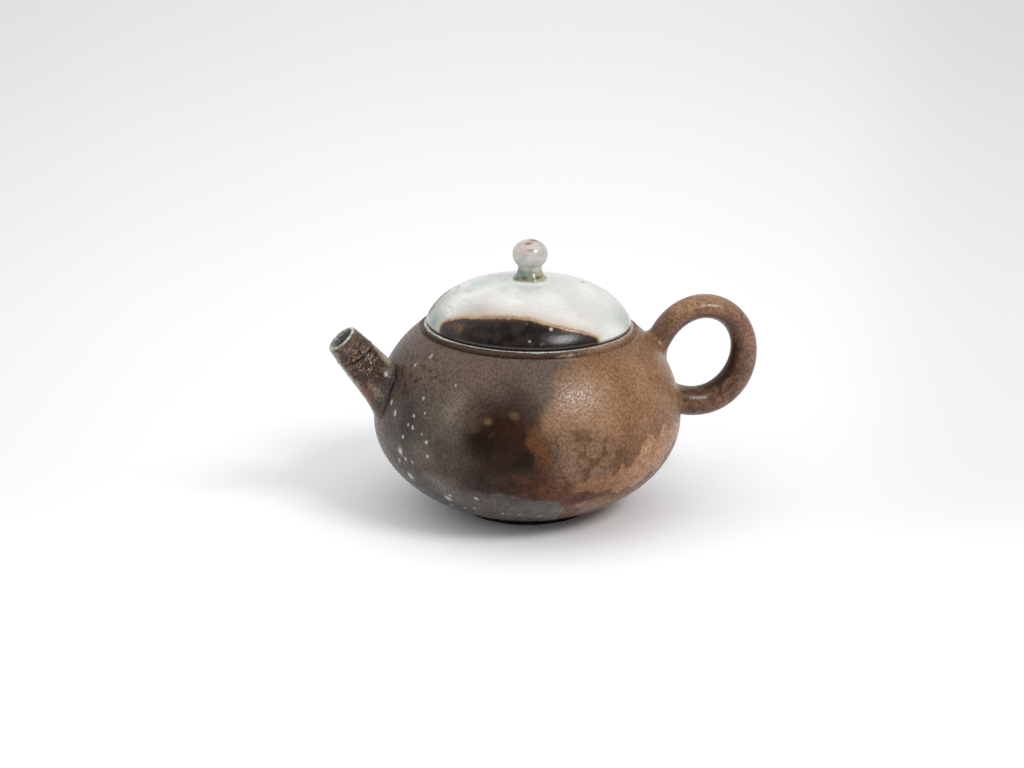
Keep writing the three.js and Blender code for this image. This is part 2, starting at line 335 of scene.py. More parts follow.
def ceramic(name, roughness, shine=0.5):
    """A new material: its shader node, and the place on the pot in millimetres as a wire."""
    material = bpy.data.materials.new(name)
    material.use_nodes = True
    nodes = material.node_tree.nodes
    shader = nodes["Principled BSDF"]
    shader.inputs["Roughness"].default_value = roughness
    shader.inputs["Specular IOR Level"].default_value = shine
    seen = Wire(nodes).node("ShaderNodeTexCoord", output=3)
    return shader, seen.vector("MULTIPLY_ADD", (1000, 1000, 1000), (-axis_x, 0, 0))


def material_of(shader):
    """The material that a shader node belongs to."""
    return next(material for material in bpy.data.materials if material.node_tree == shader.id_data)


def feed(shader, **wires):
    """Links wires to a shader's sockets."""
    for name, wire in wires.items():
        shader.id_data.links.new(wire.socket, shader.inputs[name.replace("_", " ")])


def bumped(height, depth):
    """A surface that rises and falls by a depth in millimetres."""
    return height.node("ShaderNodeBump", {}, {"Strength": 1, "Distance": depth / 1000, "Height": height})


def chart_of(place, drift=0.0):
    """Angle round the axis and height, as two values and one vector, drifting a little if asked."""
    x, y, height = place.parts()
    angle = x.math("ARCTAN2", y * -1) * math.degrees(1)
    if drift:
        cloud = place.cloud(11, 3, output=1).vector("SUBTRACT", (0.5, 0.5, 0.5)).times(drift).parts()
        angle = angle + cloud[0] * 1.4
        height = height + cloud[1]
    return angle, height, angle.node("ShaderNodeCombineXYZ", {}, {0: angle, 1: height})


def leather(place):
    """The grain of the fired skin that all of the brown ware has, from dark pits at 0 to pale tops at 1."""
    drawn = place.vector("MULTIPLY", (1, 1, 0.8))
    return drawn.cloud(0.75, 1).step(0.4, 0.6) * 0.6 + drawn.cloud(0.42, 1, 0.6).step(0.3, 0.7) * 0.4


def blotched(colour, chart, blotches, core=0.0):
    """A colour with blotches over it: each has its middle, half its size, its strength and its own colour."""
    for middle, half, strength, shade in blotches:
        colour = (chart.spot(middle, half, core) * strength).mix(colour, shade)
    return colour


shader, place = ceramic("wood_fired_body", 0.34, 0.5)
angle, height, chart = chart_of(place)
loose_angle, loose_height, loose_chart = chart_of(place, 11)
soft = place.cloud(13, 3)
blots = place.cloud(4, 3)

# Where the flame turned: the cool side lies between this line and the opposite one at the back
turn_line = loose_height.along([(0, -8), (20, -7), (43, -8.5), (50, -5), (57, 4), (66, 10)])
blend = loose_height.along([(0, 0.1), (38, 0.12), (48, 0.13), (58, 0.22), (66, 0.26)])
blend = blend + loose_angle.math("ABSOLUTE").step(80, 140) * 0.4 + (blots - 0.5) * 0.1
warm = (((loose_angle - turn_line) * math.radians(1)).math("SINE") / blend).step(-0.6, 1)

# The cool side: greys, with a scorched brown patch and ochre spots in it
cool_colour = soft.step(0.36, 0.64).mix(tone(70, 63, 57), tone(94, 84, 75))
cool_colour = loose_height.step(42, 53).mix(cool_colour, tone(99, 84, 75))
cool_colour = blotched(cool_colour, loose_chart, [
    ((-66, 42), (12, 8), 0.5, tone(60, 55, 53)),
    ((-52, 19), (13, 6), 0.7, tone(116, 110, 104)),
    ((-43, 43.5), (11, 8), 0.8, tone(118, 107, 97)),
    ((-58, 30), (12, 8), 0.45, tone(104, 97, 90)),
    ((-14, 56), (22, 5), 0.6, tone(92, 80, 74)),
])
reddish = place.cloud(2, 2).step(0.53, 0.62) * loose_chart.spot((-72, 50), (26, 10), 0.4)
cool_colour = (reddish * 0.8).mix(cool_colour, tone(66, 43, 33))
patch = loose_chart.spot((-23, 34.5), (27, 22), 0.3)
cool_colour = (patch * 0.97).mix(cool_colour, soft.step(0.35, 0.7).mix(tone(26, 14, 6), tone(50, 30, 15)))
ochre_spots = [
    ((-30, 41.7), (3, 1.6)), ((-29, 38.3), (2.4, 1.6)), ((-35, 39), (2.4, 1.2)), ((-20, 43.7), (3, 1.6)),
]
for middle, half in ochre_spots:
    ochre = chart.spot(middle, half) * blots.step(0.3, 0.6)
    cool_colour = (ochre * 0.55).mix(cool_colour, tone(122, 96, 68))

# The warm side: browns, thick glaze on the shoulder with a painted highlight on it, and a patch under it that
# boiled up in bubbles
warm_colour = soft.step(0.34, 0.66).mix(tone(126, 92, 65), tone(141, 108, 80))
warm_colour = (loose_height.step(46, 20) * 0.9).mix(warm_colour, tone(95, 62, 39))
warm_colour = (loose_height.step(49, 59) * 0.8).mix(warm_colour, tone(112, 82, 57))
thick_glaze_and_painted_highlight = loose_chart.spot((3, 45), (24, 16))
# Painted highlight: a lighter colour where the thick glaze catches the lamp
warm_colour = (thick_glaze_and_painted_highlight * 0.4).mix(warm_colour, tone(140, 112, 88))
bubbles = place.vector("ADD", place.cloud(3, 2, output=1)).cells(4.4).step(0.74, 0.5)
mauve = loose_chart.spot((5, 30), (19, 14), 0.5)
warm_colour = (mauve * 0.95).mix(warm_colour, bubbles.mix(tone(90, 61, 41), tone(115, 89, 68)))
colour = warm.mix(cool_colour, warm_colour)

# The orange line where the two meet, and the rust that pools under it
seam_band = loose_chart.spot((-10.5, 34), (4, 16), 0.2)
colour = (seam_band * 0.65).mix(colour, tone(104, 68, 40))
rust_top = loose_angle.along([
    (-60, 20), (-34, 26), (-9, 27), (-1, 25), (5, 22), (12, 20), (24, 17), (60, 14), (100, 10),
])
rust = (loose_height - rust_top).step(2.5, -4) * loose_angle.step(-50, -22) * loose_angle.step(100, 50)
streaks = place.vector("MULTIPLY", (1, 1, 0.4)).cloud(1.6, 2)
rusty = (blots * 0.6 + streaks * 0.4).step(0.38, 0.62).mix(tone(66, 38, 23), tone(94, 58, 35))
dark_rust = blots.step(0.35, 0.65).mix(tone(36, 24, 19), tone(60, 38, 28))
pale_rust = streaks.step(0.36, 0.64).mix(tone(106, 69, 44), tone(142, 103, 72))
rusty = loose_angle.step(-6, -26).mix(rusty, dark_rust)
rusty = loose_angle.step(8, 40).mix(rusty, pale_rust)
colour = (rust * 0.93).mix(colour, rusty)

# Tan glaze run down the lower right in lobes, like fish scales, with dark lower edges
scales = place.vector("MULTIPLY", (1, 1, 0.7)).cells(4.6) - 0.45
lobed = height + scales * 6 + (blots - 0.5) * 5
low_edge = angle.along([
    (-2, 22), (3, 20.5), (10, 19.5), (30, 16.5), (45, 20), (60, 25), (75, 22), (120, 17), (150, 20),
])
high_edge = angle.along([
    (-2, 22), (3, 22.5), (15, 24), (27, 26), (35, 32), (54, 33), (75, 27), (120, 25), (150, 20),
])
round_back = angle.step(140, 108)
under_tan = (lobed - low_edge + 0.7).math("ABSOLUTE").step(0.8, 0.1) * angle.step(2, 8) * round_back
colour = (under_tan * 0.4).mix(colour, tone(82, 51, 34))
tan = (lobed - low_edge).step(-0.3, 0.3) * (high_edge - lobed).step(-0.3, 0.3) * angle.step(1, 5) * round_back
pale_tan = blots.step(0.3, 0.7).mix(tone(144, 106, 76), tone(167, 129, 98))
tan_colour = angle.step(12, 36).mix(tone(128, 90, 62), pale_tan)
colour = (tan * 0.9).mix(colour, tan_colour)

# Bare grey clay at the foot of the cool side
grey_top = loose_angle.along([
    (-90, 17), (-62, 18.5), (-34, 19), (-18, 18), (-10, 16.8), (-1, 13.6), (3.4, 8), (5, 0),
])
bottom = (loose_height - grey_top).step(0.7, -0.7)
bottom = bottom * loose_angle.step(5.5, 3) * loose_angle.step(-178, -160)
colour = bottom.mix(colour, soft.step(0.35, 0.65).mix(tone(74, 70, 66), tone(104, 99, 93)))
colour = (loose_chart.spot((17, 12.5), (9, 3.2), 0.4) * 0.6).mix(colour, tone(138, 98, 64))
colour = (loose_chart.spot((10, 12.5), (6, 2.5)) * 0.7).mix(colour, tone(140, 108, 84))
colour = (loose_chart.spot((15, 10.4), (5, 1.8), 0.4) * 0.5).mix(colour, tone(126, 114, 104))

# White flecks of melted ash, drawn down a little as they ran: their angle, height and size
flecks = [
    (-67.5, 55.3, 0.9), (-73.5, 52, 0.9), (-78.4, 40.1, 1), (-74, 38, 1.2), (-62.4, 39.2, 0.7),
    (-59.8, 45, 0.8), (-57, 41, 0.5), (-62, 35.8, 0.9), (-64.5, 36.3, 0.7), (-57, 34.7, 0.6),
    (-67, 32, 0.8), (-54.5, 32.8, 0.9), (-69, 27, 1.9), (-71.5, 23.3, 1), (-66.4, 24.9, 0.8),
    (-62.3, 24.9, 0.8), (-54, 28.4, 0.8), (-67.6, 18.7, 2), (-51, 13.7, 2), (-48.4, 15.4, 0.9),
    (-36, 16, 1), (-53.8, 9.7, 1), (-45.7, 10, 1), (-39.9, 10.9, 0.9), (-46.4, 50.3, 0.5),
    (-26.7, 9.7, 0.6), (-18.8, 9.6, 0.7), (-8.8, 8.5, 0.7),
]
wavering = chart.vector("ADD", place.cloud(1.6, 1, output=1).vector("SUBTRACT", (0.5, 0.5, 0)).times(0.9))
white = None
for at_angle, at_height, size in flecks:
    widen = belly_radius / body_radius(at_height)
    steep = 1 / math.hypot(1, (body_radius(at_height + 0.5) - body_radius(at_height - 0.5)))
    one = wavering.spot((at_angle, at_height), (1.25 * size * widen, 1.35 * size * steep), 0.4)
    white = one if white is None else white.either(one)

# The skin over all of it: dark pits, a dark rim round each fleck, and a soft relief
grain = leather(place)
pits = colour.vector("MULTIPLY", (0.67, 0.62, 0.57))
colour = grain.mix(pits, colour.times(1.17 + 0.16 * warm))
rim = (white * (1 - white) * 4).math("MINIMUM", 1)
colour = (rim * 0.25).mix((white * 0.85).mix(colour, tone(184, 190, 184)), tone(70, 64, 60))
relief = bumped(grain + place.cloud(3, 2) * 1.5 + white, 0.05)
rough = 0.42 - grain * 0.24 - white * 0.1
feed(shader, Base_Color=colour, Normal=relief, Roughness=rough)
body_glaze = material_of(shader)

# The ash glaze is thick and glossy on the warm side only: elsewhere a dry skin takes the glossy one's place
dry = colour.node("ShaderNodeBsdfPrincipled", {}, {
    "Specular IOR Level": 0.1, "Base Color": colour, "Normal": relief, "Roughness": rough})
gloss = warm * 0.25 + thick_glaze_and_painted_highlight * warm * 0.75
skin = gloss.node("ShaderNodeMixShader", {}, {0: gloss, 1: dry, 2: Wire(gloss.nodes, shader.outputs[0])})
body_glaze.node_tree.links.new(skin.socket, gloss.nodes["Material Output"].inputs["Surface"])

# Inside, the pot is plain clay with the potter's rings
shader, place = ceramic("pot_inside", 0.6)
blots = place.cloud(6, 3)
colour = blots.step(0.35, 0.65).mix(tone(112, 88, 70), tone(134, 108, 88))
rings = (place.parts()[2] * 1.3 + place.cloud(20) * 3).math("SINE")
feed(shader, Base_Color=colour.times(0.9 + place.cloud(0.8) * 0.2))
feed(shader, Normal=bumped(rings * 0.5 + place.cloud(0.8, 3) * 0.3, 0.25))
inside_clay = material_of(shader)

body.data.materials.append(body_glaze)
body.data.materials.append(inside_clay)
for face in body.data.polygons:
    middle = face.center * 1000
    radius = math.hypot(middle.x - axis_x, middle.y)
    deep_in = radius < body_radius(middle.z) - wall / 2 and middle.z > foot_height + 1.5
    face.material_index = int(deep_in and (radius < collar_radius - 1 or middle.z < shelf + 1))
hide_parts("pot_body")
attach(body, "pot")


# Foot ring: a low ring that the pot stands on, turned from the same clay after throwing and left bare. It is
# painted nearly black: painted shade for the shadow it stands in
foot_width = 4
foot_round = 0.5
foot_line = [
    *arc((foot_radius - foot_width + foot_round, foot_round), foot_round, 180, 270),
    *arc((foot_radius - foot_round, foot_round), foot_round, 270, 360),
    (foot_radius - 0.1, foot_height),
    (foot_radius - 0.2, foot_top + 0.3),
    (foot_radius - foot_width - 0.2, foot_top + 0.5),
]
points, faces = turned(even(foot_line + foot_line[:1], 0.35)[:-1], closed=True)
foot = solid("foot_turned", points, faces)
shader, place = ceramic("dark_bare_foot", 0.8, 0.2)
# Painted shade: the bare foot is coloured nearly black for the shadow under the pot
painted_shade_foot = place.cloud(5, 3).step(0.35, 0.65).mix(tone(18, 14, 12), tone(38, 30, 26))
feed(shader, Base_Color=painted_shade_foot.times(0.8 + place.cloud(0.7, 3) * 0.4), Normal=bumped(place.cloud(0.6, 3), 0.08))
foot.data.materials.append(material_of(shader))
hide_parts("foot_ring")
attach(foot, "pot")


# Mouth collar: a low ring rolled round the mouth for the lid to rest on. It stands in a small groove, and
# pale glaze has run from the lid onto its top edge.
collar_height = 1.65
collar_round = 0.5
collar_in_round = 0.6
collar_foot = -0.5
collar_line = np.array([
    (collar_radius, collar_foot),
    *arc((collar_radius - collar_round, collar_height - collar_round), collar_round, 0, 90),
    *arc((mouth_radius + collar_in_round, collar_height - collar_in_round), collar_in_round, 90, 180),
    (mouth_radius, collar_foot),
])
collar_line = even(np.vstack([collar_line, collar_line[:1]]), 0.3)[:-1]
points, faces = turned(collar_line + (0, collar_base), closed=True)
collar = solid("collar_rolled", leaned(points), faces)


def mouth_place(place):
    """A place counted square to the leaning mouth: height is above the collar's foot."""
    moved = place.vector("SUBTRACT", (mouth_shift, 0, collar_base))
    _, y, _ = moved.parts()
    x = moved.vector("DOT_PRODUCT", (math.cos(mouth_lean), 0, -math.sin(mouth_lean)), output=1)
    z = moved.vector("DOT_PRODUCT", (math.sin(mouth_lean), 0, math.cos(mouth_lean)), output=1)
    return moved.node("ShaderNodeCombineXYZ", {}, {0: x, 1: y, 2: z})


shader, place = ceramic("collar_glaze", 0.36, 0.4)
square = mouth_place(place)
angle, height, chart = chart_of(square, 2)
grain = leather(place)
# Painted light: the collar is coloured lighter on the side towards the lamp and darker away from it
painted_light_side = angle.along([(-180, 0.1), (-80, 0.1), (-8, 0.05), (22, 0.75), (60, 1), (120, 0.9), (180, 0.1)])
colour = painted_light_side.mix(tone(66, 47, 36), tone(150, 118, 92))
x, y, z = square.parts()
radius = (x * x + y * y) ** 0.5
# The ledge under the lid's edge, painted lighter as painted light against the gap's shade, and the pale line
# the lid's glaze left where it ran
line_outside = collar_radius - 0.8
painted_light_ledge = radius.step(line_outside + 0.25, line_outside) * height.step(1.3, 1.5)
colour = (painted_light_ledge * 0.7).mix(colour, tone(120, 96, 80))
line_edge = (radius - height).step(line_outside - 0.95, line_outside - 1.15)
line_edge = line_edge * radius.step(line_outside - 0.25, line_outside)
shown = angle.along([(-180, 0.5), (-100, 0.8), (-20, 0.95), (30, 0.75), (50, 0.3), (90, 0.2), (180, 0.5)])
colour = (line_edge * shown).mix(colour, tone(196, 202, 196))
# A pale tan streak low on the collar's front: a painted highlight
painted_highlight_streak = chart.spot((6, 0.4), (9, 0.7), 0.3) * grain.step(0.1, 0.5)
colour = (painted_highlight_streak * 0.7).mix(colour, tone(190, 164, 138))
feed(shader, Base_Color=colour.times(0.55 + grain * 0.65))
feed(shader, Normal=bumped(grain, 0.03))
feed(shader, Roughness=0.38 - line_edge * 0.2)
collar.data.materials.append(material_of(shader))
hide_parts("mouth_collar")
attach(collar, "pot")


# Spout: a straight tube thrown by itself, cut to the body and stuck on with slip. The potter's finger left
# rings round it, the clay is coarse, and ash has pooled pale and greenish in the corner above its root.
spout_angle = math.radians(50.8)
spout_rise = 12.9
spout_reach = 21
spout_lip_radius = 5
spout_taper = 0.155
spout_hollowing = 0.0033
spout_flare_end = 26
spout_lip_wall = 1
spout_wall = 2
spout_fillet = 0.5
finger_rings = [(6.3, 1, 1), (8.7, 1.1, 0.45), (11.4, -0.4, 0.2), (3, 0.3, 0.12)]
spout_axis = np.array([-math.cos(spout_angle), 0, math.sin(spout_angle)])
spout_up = np.array([math.sin(spout_angle), 0, math.cos(spout_angle)])
spout_root = np.array([-body_radius(belly_height + spout_rise), 0, belly_height + spout_rise])
spout_lip = spout_root + spout_reach * spout_axis


def spout_radius(below):
    """The plain radius of the spout at a distance below its lip."""
    flare = (np.minimum(below, spout_flare_end) / (spout_reach + wall)) ** 6
    return spout_lip_radius + spout_taper * below - spout_hollowing * below**2 + flare


def spout_bore(below):
    """The radius of the spout's bore at a distance below its lip. The wall thickens from the lip down."""
    thickness = spout_lip_wall + (spout_wall - spout_lip_wall) * np.clip(2 * below / spout_reach, 0, 1)
    return spout_radius(np.minimum(below, spout_reach)) - thickness


ridge_height, ridge_width = 0.2, 0.55
valley_below, valley_depth, valley_width = 0.8, 0.36, 0.4


def ring_relief(below, turn):
    """How far the finger rings stand out, or sink in, from the spout's plain radius."""
    relief = 0
    for ring, slant, strength in finger_rings:
        offset = below - ring - slant * np.sin(turn)
        ridge = ridge_height * np.exp(-((offset / ridge_width) ** 2))
        valley = valley_depth * np.exp(-(((offset - valley_below) / valley_width) ** 2))
        relief = relief + strength * ridge - strength * valley
    return relief


profile = wall_line(0, foot_height, collar_base, 0.25)
slopes = np.gradient(profile, axis=0)
outward = np.column_stack([slopes[:, 1], -slopes[:, 0]]) / np.hypot(*slopes.T)[:, None]


def off_body(points):
    """How far points stand off the body's surface, and the direction straight out of it."""
    x, y, z = np.array(points, float).T
    weight = lean_share(z)
    turn = mouth_lean * weight
    x = x - mouth_shift * weight
    z = z - collar_base
    x, z = x * np.cos(turn) - z * np.sin(turn), x * np.sin(turn) + z * np.cos(turn) + collar_base
    flat = np.column_stack([np.hypot(x, y), z])
    near = np.argmin(((flat[:, None] - profile) ** 2).sum(2), axis=1)
    out = outward[near]
    distance = ((flat - profile[near]) * out).sum(1)
    return distance, np.column_stack([out[:, 0] * x / flat[:, 0], out[:, 0] * y / flat[:, 0], out[:, 1]])


def between(line, places):
    """The points of a line at places counted in its own points, which may fall between two of them."""
    whole = np.arange(len(line))
    return np.column_stack([np.interp(places, whole, part) for part in line.T])


sunk = 0.8
fillet_steps = 9
skin_dip = 0.12


def rooted(line, sideways, fillet):
    """Where one lengthwise line of a tube comes down on the body, a fillet turns it out onto the surface.

    The line's last point is inside the wall. Its end becomes a round corner, and then dips below the skin.
    """
    distance, straight_out = off_body(line)
    buried = np.nonzero(distance > fillet)[0][-1] + 1
    tail = np.arange(buried - 1, len(line))
    falling = np.minimum.accumulate(distance[tail])
    corner = np.linspace(0, math.pi / 2, fillet_steps)
    wanted = np.append((fillet + skin_dip) * (1 - np.sin(corner)) - skin_dip, -sunk)
    spread = np.append(fillet * (1 - np.cos(corner)), fillet)
    places = np.interp(-wanted, -falling, tail)
    line, sideways, straight_out = [between(array, places) for array in (line, sideways, straight_out)]
    along = sideways - (sideways * straight_out).sum(1)[:, None] * straight_out
    along /= np.linalg.norm(along, axis=1)[:, None]
    return places[0], line + spread[:, None] * along


def tube(lines, cap_start, cap_end):
    """Points and faces of lengthwise lines side by side, joined round, with their ends closed if asked."""
    count, length = len(lines), len(lines[0])
    faces = []
    for i in range(count):
        j = (i + 1) % count
        for k in range(length - 1):
            faces.append([i * length + k, i * length + k + 1, j * length + k + 1, j * length + k])
    if cap_start:
        faces.append([i * length for i in range(count)])
    if cap_end:
        faces.append([i * length + length - 1 for i in range(count)])
    return np.vstack(lines), faces


spout_lines = 144
spout_outer_points, spout_inner_points = 100, 40
spout_lip_round = 0.5
spout_lip_crown, spout_lip_middle = 0.12, 0.75
below = np.linspace(0, spout_reach + 11, 900)
lines = []
for turn in np.linspace(0, 2 * math.pi, spout_lines, endpoint=False):
    side = math.cos(turn) * np.array([0, -1, 0]) + math.sin(turn) * spout_up
    radius = spout_radius(below) + ring_relief(below, turn)
    radius -= spout_lip_round * np.clip(1 - below / spout_lip_round, 0, 1) ** 2
    line = spout_lip - below[:, None] * spout_axis + radius[:, None] * side
    last, root = rooted(line, np.tile(side, (len(line), 1)), spout_fillet)
    upper = between(line, np.linspace(0, last, spout_outer_points)[:-1])
    bore = spout_lip - below[:, None] * spout_axis + spout_bore(below)[:, None] * side
    distance, _ = off_body(bore)
    end = np.nonzero(distance > -sunk)[0][-1]
    inner = between(bore, np.linspace(0, end, spout_inner_points)[::-1])
    lip_top = spout_lip + spout_lip_crown * spout_axis + (spout_lip_radius - spout_lip_middle) * side
    lines.append(np.vstack([upper, root, inner, lip_top]))
points, faces = tube(lines, False, False)
count, length = len(lines), len(lines[0])
for i in range(count):
    here, there = i * length, (i + 1) % count * length
    faces.append([here + length - 1, here, there, there + length - 1])
spout = solid("spout_thrown", points, faces)


def rod_line(radius, start, end):
    """The outline of a straight rod, for a drill or a plug."""
    return [(0, start), (radius, start), (radius, end), (0, end)]


# The hole through the body, under the spout
points, faces = turned(rod_line(spout_bore(spout_reach), spout_reach - 3, spout_reach + 12), 96)
across, aside, along = points[:, :1], points[:, 1:2], points[:, 2:]
points = spout_lip - along * spout_axis + across * spout_up + aside * np.array([0, 1, 0])
cut(body, solid("spout_hole", points, faces))


def off_wall(place):
    """About how far a place stands off the body's wall, in millimetres."""
    x, y, z = place.parts()
    out = ((x * x + y * y) ** 0.5 / belly_radius) ** shoulder_out
    up = ((z - belly_height) / shoulder_rise).math("MAXIMUM", 0) ** shoulder_up
    return (out + up - 1) * (belly_radius / shoulder_out)


shader, place = ceramic("ash_on_spout", 0.4, 0.28)
offset = place.vector("SUBTRACT", tuple(spout_lip))
below = offset.vector("DOT_PRODUCT", tuple(-spout_axis), output=1)
upward = offset.vector("DOT_PRODUCT", tuple(spout_up), output=1)
turn = upward.math("ARCTAN2", offset.parts()[1] * -1) * math.degrees(1)
grain = leather(place)
coarse = place.cloud(1, 3, 0.6)
worn = place.cloud(2.4, 3)
waver = place.cloud(3, 3, output=1).vector("SUBTRACT", (0.5, 0.5, 0.5))
spout_chart = turn.node("ShaderNodeCombineXYZ", {}, {0: turn, 1: below})
spout_chart = spout_chart.vector("MULTIPLY_ADD", (1, 1, 1), waver.vector("MULTIPLY", (40, 6, 0)))
colour = coarse.step(0.34, 0.66).mix(tone(46, 29, 19), tone(93, 69, 51))
colour = (below.step(5, 1.5) * worn.step(0.35, 0.6) * 0.6).mix(colour, tone(104, 92, 82))
colour = blotched(colour, spout_chart, [
    ((-70, 8), (42, 5), 0.65, tone(104, 56, 36)),
    ((0, 20), (60, 5.5), 0.95, tone(66, 60, 56)),
    ((-10, 12), (40, 2.5), 0.7, tone(50, 34, 24)),
    ((-36, 4), (22, 3), 0.5, tone(60, 40, 30)),
    ((-62, 17.5), (24, 6), 0.85, tone(122, 74, 48)),
    ((-27, 17.6), (17, 3.6), 0.8, tone(136, 114, 86)),
    ((46, 16), (30, 4), 0.7, tone(112, 104, 88)),
    ((70, 13), (22, 6), 0.8, tone(168, 160, 140)),
    ((88, 11), (24, 7), 0.85, tone(176, 168, 148)),
    # A small white spot near the top: a painted highlight
    ((30, 17.2), (13, 1.3), 0.8, tone(190, 190, 182)),
    ((-110, 15), (40, 7), 0.7, tone(124, 98, 80)),
    ((140, 12), (70, 9), 0.6, tone(120, 100, 82)),
    # The pale strip along the spout's lower left side is a painted reflection of the white room
    ((-86, 12), (32, 18), 0.9, tone(172, 176, 166)),
    ((-78, 2), (34, 6), 0.8, tone(150, 148, 136)),
], 0.3)
# Each finger ring's groove is painted dark, as painted shade, and the ridge over it painted pale, as a
# painted highlight
for ring, slant, strength in finger_rings:
    slanted = below - (turn * math.radians(1)).math("SINE") * slant - (ring + valley_below)
    dark = slanted.math("ABSOLUTE").step(0.45, 0.05) * min(1, 0.9 * strength + 0.1)
    colour = dark.mix(colour, tone(24, 16, 13))
    painted_ridge_highlight = (slanted + 0.9).math("ABSOLUTE").step(0.5, 0.1) * (0.5 * strength)
    colour = (painted_ridge_highlight * coarse.step(0.4, 0.6)).mix(colour, tone(150, 122, 100))
# Small pale painted glints on the front of the spout, near the lip
painted_glints = place.cloud(0.55, 1).step(0.6, 0.7) * spout_chart.spot((12, 7), (60, 8), 0.3)
colour = (painted_glints * 0.75).mix(colour, tone(196, 180, 160))
# The glazed bore, the pale lip, and dark slip in the joint at the root
within = offset.vector("CROSS_PRODUCT", tuple(spout_axis)).vector("LENGTH", output=1)
inner = (within - (spout_lip_radius - 0.55)).step(0, -0.3) * below.step(-0.2, 0.2)
colour = (inner * below.step(14, 5)).mix(colour, tone(124, 134, 132))
lip = below.step(0.5, 0.1).either(inner * below.step(1.1, 0.6))
colour = (lip * 0.9).mix(colour, tone(186, 182, 172))
joint_width = turn.along([(-180, 0.9), (-90, 0.25), (0, 0.9), (180, 0.9)])
joint = (off_wall(place) / joint_width).step(0.9, 0.45) * below.step(14, 16)
colour = (joint * 0.9).mix(colour, tone(24, 18, 15))
feed(shader, Base_Color=colour.times(0.42 + grain * 0.95))
feed(shader, Normal=bumped(grain + coarse, 0.055))
feed(shader, Roughness=0.3 + (coarse - 0.5) * 0.5)
spout.data.materials.append(material_of(shader))
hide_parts("spout")
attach(spout, "pot")


# Strainer: a pierced half ball of plain clay inside the body, over the spout's hole, to hold the leaves
# back. It is thrown small, drilled while soft and stuck to the wall.
strainer_radius = corners("spout_strainer")[1][1]
strainer_wall = 1.6
strainer_hole = 1.1
drill_from, drill_to = 4, 12
strainer_rings = [1, 6, 12]
strainer_step = math.radians(24)
through = wall / math.cos(spout_angle / 2)
strainer_centre = spout_root - through * spout_axis


def ball(name, radius):
    """A round solid about the strainer's centre."""
    line = arc((0, 0), radius, -90, 90, 41)
    line[[0, -1], 0] = 0
    points, faces = turned(line, 64)
    return solid(name, points + strainer_centre, faces)


strainer = ball("strainer_pierced", strainer_radius)
cut(strainer, ball("strainer_hollow", strainer_radius - strainer_wall))
room_line = np.vstack([[(0, 5)], wall_line(wall - 0.4, 6, shelf, 1.5), [(0, shelf)]])
points, faces = turned(room_line, 96)
cut(strainer, solid("room", leaned(points), faces), "INTERSECT")
inward = Vector((-spout_root[0], 0, -spout_rise / 2)).normalized()
face_in = Vector((0, 0, 1)).rotation_difference(inward)
points, faces = [], []
for ring, count in enumerate(strainer_rings):
    for turn in np.linspace(0, 2 * math.pi, count, endpoint=False):
        lift = strainer_step * ring
        aim = Vector((math.sin(lift) * math.cos(turn), math.sin(lift) * math.sin(turn), math.cos(lift)))
        drill, drill_faces = turned(rod_line(strainer_hole, drill_from, drill_to), 20)
        swing = Vector((0, 0, 1)).rotation_difference(face_in @ aim)
        faces += [[len(points) + corner for corner in face] for face in drill_faces]
        points += [np.array(swing @ Vector(point)) + strainer_centre for point in drill]
cut(strainer, solid("drills", points, faces))
strainer.data.materials.append(inside_clay)
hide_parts("spout_strainer")
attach(strainer, "pot")


# Handle: a coil pulled by hand into a ring for one finger, with a soft ridge down each side, pressed onto
# the body at two roots and smoothed in with slip
handle_out = 8.7
handle_rise = 15.2
handle_half_length = 14.5
handle_half_height = 15.6
handle_tip = math.radians(15)
handle_half_width = 4.8
handle_half_thick = 4.09
handle_far_swell = 0.44
handle_low_swell = 0.29
handle_cross_swell = 0.32
handle_root_flare = 0.28
handle_root_sink = 3.8
handle_from, handle_to = 210, -116
handle_ridge = 1.8
handle_centre = np.array([belly_radius + handle_out, 0, belly_height + handle_rise])


def tipped(x, z):
    """A direction in the handle's own ring, tipped towards the lid."""
    c, s = math.cos(handle_tip), math.sin(handle_tip)
    return np.column_stack([c * x + s * z, 0 * x, c * z - s * x])


def handle_line(around, shares):
    """One lengthwise line of the handle: its points and the direction sideways out of its middle."""
    turn = np.radians(handle_from + (handle_to - handle_from) * shares)
    spine = tipped(handle_half_length * np.cos(turn), handle_half_height * np.sin(turn))
    out = tipped(np.cos(turn) / handle_half_length, np.sin(turn) / handle_half_height)
    out /= np.linalg.norm(out, axis=1)[:, None]
    near_root = np.abs(2 * shares - 1) ** 8
    swell = 1 + handle_root_flare * near_root
    thick = handle_half_thick + handle_far_swell * np.cos(turn) - handle_low_swell * np.sin(turn)
    thick = thick - handle_cross_swell * np.sin(2 * turn)
    spine[:, 0] -= handle_root_sink * near_root
    c, s = math.cos(around), math.sin(around)
    c, s = [math.copysign(abs(part) ** (2 / handle_ridge), part) for part in (c, s)]
    in_ring = (swell * thick * c)[:, None] * out
    across = in_ring + (swell * handle_half_width * s)[:, None] * np.array([0, 1, 0])
    sideways = across / np.linalg.norm(across, axis=1)[:, None]
    return handle_centre + spine + across, sideways


